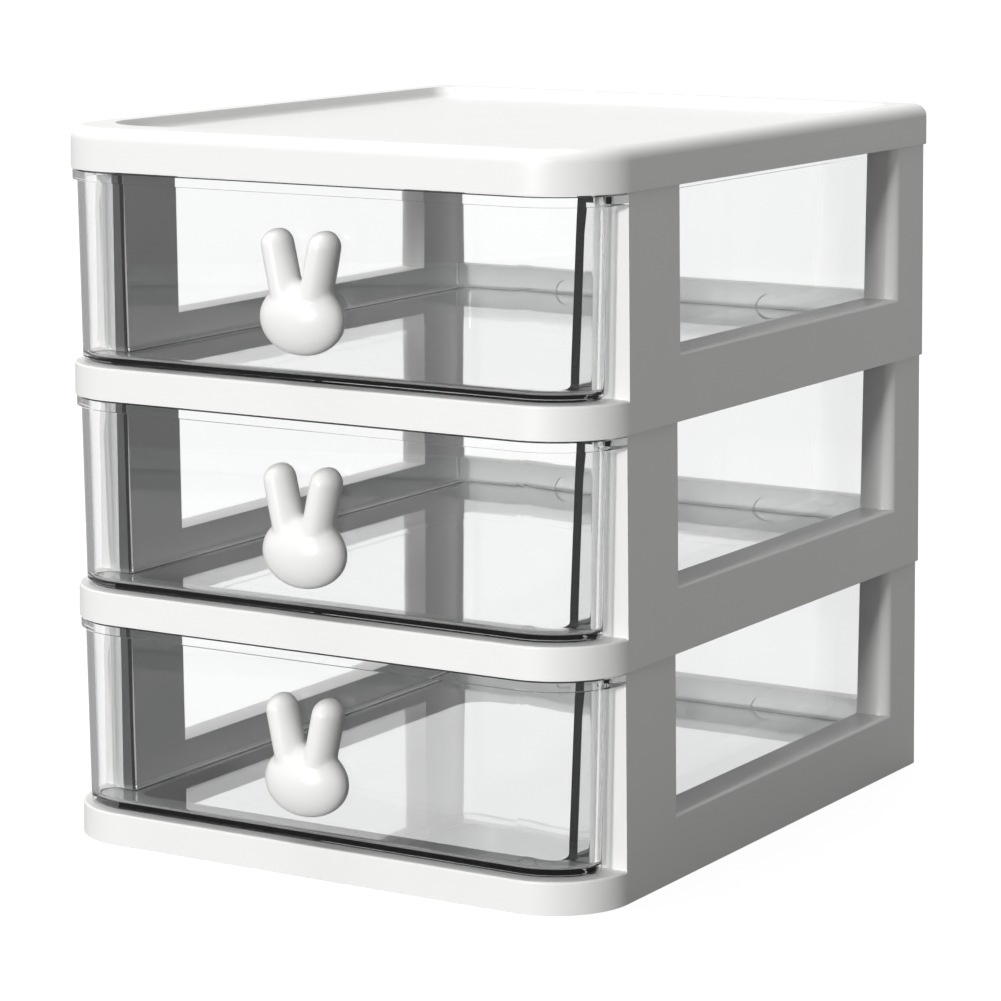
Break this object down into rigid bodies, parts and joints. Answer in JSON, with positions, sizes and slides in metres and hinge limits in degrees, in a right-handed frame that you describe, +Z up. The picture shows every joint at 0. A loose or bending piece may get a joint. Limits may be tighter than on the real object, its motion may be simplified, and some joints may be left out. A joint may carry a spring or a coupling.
{
  "type": "storage drawers",
  "caption": "Desktop unit of stacked clear drawers in open white frames, with rabbit-head knobs and a shallow tray on top, for jewellery, cosmetics and small things.",
  "frame": {"origin": "on the surface that the unit stands on, in the middle of its width and of its whole depth, knobs included", "axes": "+X across the front to the viewer's right, +Y from the front to the back, +Z up"},
  "size_m": [0.165, 0.203, 0.19],
  "materials": {
    "white_plastic": "satin moulded plastic",
    "clear_plastic": "clear polished plastic",
    "knob_white": "glossy white plastic",
    "screw_steel": "zinc plated"
  },
  "bodies": {
    "case": {"frame_lower": "white_plastic", "frame_middle": "white_plastic", "frame_upper": "white_plastic", "top_cover": "white_plastic"},
    "drawer_lower": {"drawer_lower": "clear_plastic", "knob_lower": "knob_white", "screw_lower": "screw_steel"},
    "drawer_middle": {"drawer_middle": "clear_plastic", "knob_middle": "knob_white", "screw_middle": "screw_steel"},
    "drawer_upper": {"drawer_upper": "clear_plastic", "knob_upper": "knob_white", "screw_upper": "screw_steel"}
  },
  "joints": [
    {"name": "lower_drawer_slide", "type": "slide", "parent": "case", "child": "drawer_lower", "axis": [0, -1, 0], "range_m": [0, 0.13]},
    {"name": "middle_drawer_slide", "type": "slide", "parent": "case", "child": "drawer_middle", "axis": [0, -1, 0], "range_m": [0, 0.13]},
    {"name": "upper_drawer_slide", "type": "slide", "parent": "case", "child": "drawer_upper", "axis": [0, -1, 0], "range_m": [0, 0.13]}
  ]
}
